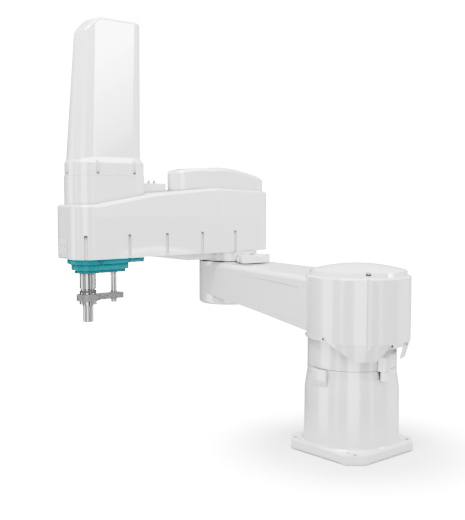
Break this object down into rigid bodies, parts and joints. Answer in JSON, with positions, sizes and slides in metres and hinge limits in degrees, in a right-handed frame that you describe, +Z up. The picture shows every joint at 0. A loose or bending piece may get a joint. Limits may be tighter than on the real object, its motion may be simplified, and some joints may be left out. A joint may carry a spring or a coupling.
{
  "type": "scara robot",
  "caption": "SCARA robot arm: bolted floor base, horizontal upper and fore links with motor covers, and a hooded quill tower that lifts and turns a tool shaft.",
  "frame": {"origin": "centre of the mounting flange's underside, on the first joint's axis", "axes": "+Z up along the first joint, +X towards the front of the base; at rest the upper link points along -Y and the fore link along +X, as in the picture"},
  "size_m": [0.863, 0.8992, 1.367],
  "materials": {
    "white_casting": "cast, with a smooth white powder coat",
    "white_cover": "moulded, with a smooth satin-gloss white coat",
    "white_plate": "smooth satin-gloss powder coat",
    "teal_cover": "smooth gloss",
    "white_bumper": "matte, light",
    "dark_rubber": "matte",
    "shaft_steel": "ground, fine polish",
    "screw_steel": "plated",
    "drive_steel": "machined",
    "machined_aluminium": "machined",
    "motor_black": "matte",
    "connector_grey": "matte",
    "nickel_fitting": "nickel plated"
  },
  "bodies": {
    "base": {"base_casting": "white_casting", "power_connector": "connector_grey", "signal_connector": "connector_grey", "rear_panel": "white_plate", "rear_panel_screws": "screw_steel", "rear_air_fittings": "nickel_fitting", "j1_reducer_case": "drive_steel", "j1_seal": "dark_rubber"},
    "upper_link": {"upper_link_casting": "white_casting", "j1_output_flange": "drive_steel", "j1_motor": "motor_black", "j1_motor_cover": "white_cover", "j1_cover_screws": "screw_steel", "j1_lug_screws": "screw_steel", "j1_moving_stop": "white_casting", "j1_stop_bumper": "white_bumper", "j2_reducer_case": "drive_steel", "j2_seal": "dark_rubber", "j2_stop_block": "white_casting", "j2_stop_bumper_near": "white_bumper", "j2_stop_bumper_far": "white_bumper"},
    "fore_link": {"fore_link_casting": "white_casting", "fore_link_cover": "white_cover", "fore_cover_screws": "screw_steel", "j2_output_flange": "drive_steel", "j2_motor": "motor_black", "j2_motor_hump": "white_cover", "tower_column": "white_cover", "tower_hood": "white_cover", "tower_hood_screws": "screw_steel", "quill_shroud": "teal_cover", "spline_nut_bearing": "shaft_steel", "ball_nut_bearing": "shaft_steel", "drive_bracket": "machined_aluminium", "turn_motor": "motor_black", "lift_motor": "motor_black", "turn_belt": "dark_rubber", "lift_belt": "dark_rubber", "front_access_plate": "white_plate", "access_plate_screws": "screw_steel", "fitting_pad": "white_cover", "air_fittings": "nickel_fitting"},
    "quill_carriage": {"quill_link": "machined_aluminium", "hub_bearing": "shaft_steel", "lift_screw": "shaft_steel"},
    "tool_shaft": {"quill_shaft": "shaft_steel", "quill_bumper_ring": "dark_rubber", "upper_collar": "shaft_steel", "lower_collar": "shaft_steel"},
    "spline_drive": {"spline_nut": "shaft_steel", "turn_pulley": "machined_aluminium"},
    "ball_drive": {"ball_nut": "shaft_steel", "lift_pulley": "machined_aluminium"},
    "turn_rotor": {"turn_motor_pulley": "machined_aluminium"},
    "lift_rotor": {"lift_motor_pulley": "machined_aluminium"}
  },
  "joints": [
    {"name": "j1_swing", "type": "hinge", "parent": "base", "child": "upper_link", "pos_m": [0, 0, 0.2725], "axis": [0, 0, 1], "range_deg": [-60, 240]},
    {"name": "j2_swing", "type": "hinge", "parent": "upper_link", "child": "fore_link", "pos_m": [0, -0.6, 0.571], "axis": [0, 0, 1], "range_deg": [-227, 47]},
    {"name": "quill_lift", "type": "slide", "parent": "fore_link", "child": "quill_carriage", "axis": [0, 0, 1], "range_m": [-0.35, 0.05]},
    {"name": "tool_spin", "type": "hinge", "parent": "quill_carriage", "child": "tool_shaft", "pos_m": [0.6, -0.6, 0.476], "axis": [0, 0, 1], "range_deg": [-360, 360]},
    {"name": "spline_nut_spin", "type": "hinge", "parent": "fore_link", "child": "spline_drive", "pos_m": [0.6, -0.6, 0.63], "axis": [0, 0, 1], "range_deg": [-361, 361]},
    {"name": "turn_motor_spin", "type": "hinge", "parent": "fore_link", "child": "turn_rotor", "pos_m": [0.33, -0.6, 0.651], "axis": [0, 0, 1], "range_deg": [-755, 755]},
    {"name": "ball_nut_spin", "type": "hinge", "parent": "fore_link", "child": "ball_drive", "pos_m": [0.502, -0.6, 0.63], "axis": [0, 0, 1], "range_deg": [-5045, 725]},
    {"name": "lift_motor_spin", "type": "hinge", "parent": "fore_link", "child": "lift_rotor", "pos_m": [0.24, -0.6, 0.697], "axis": [0, 0, 1], "range_deg": [-7110, 1020]}
  ],
  "couplings": [
    {"joint": "spline_nut_spin", "follows": "tool_spin", "ratio": 1},
    {"joint": "turn_motor_spin", "follows": "tool_spin", "ratio": 2.0909},
    {"joint": "ball_nut_spin", "follows": "quill_lift", "rad_per_m": 251.33},
    {"joint": "lift_motor_spin", "follows": "quill_lift", "rad_per_m": 354.14}
  ]
}
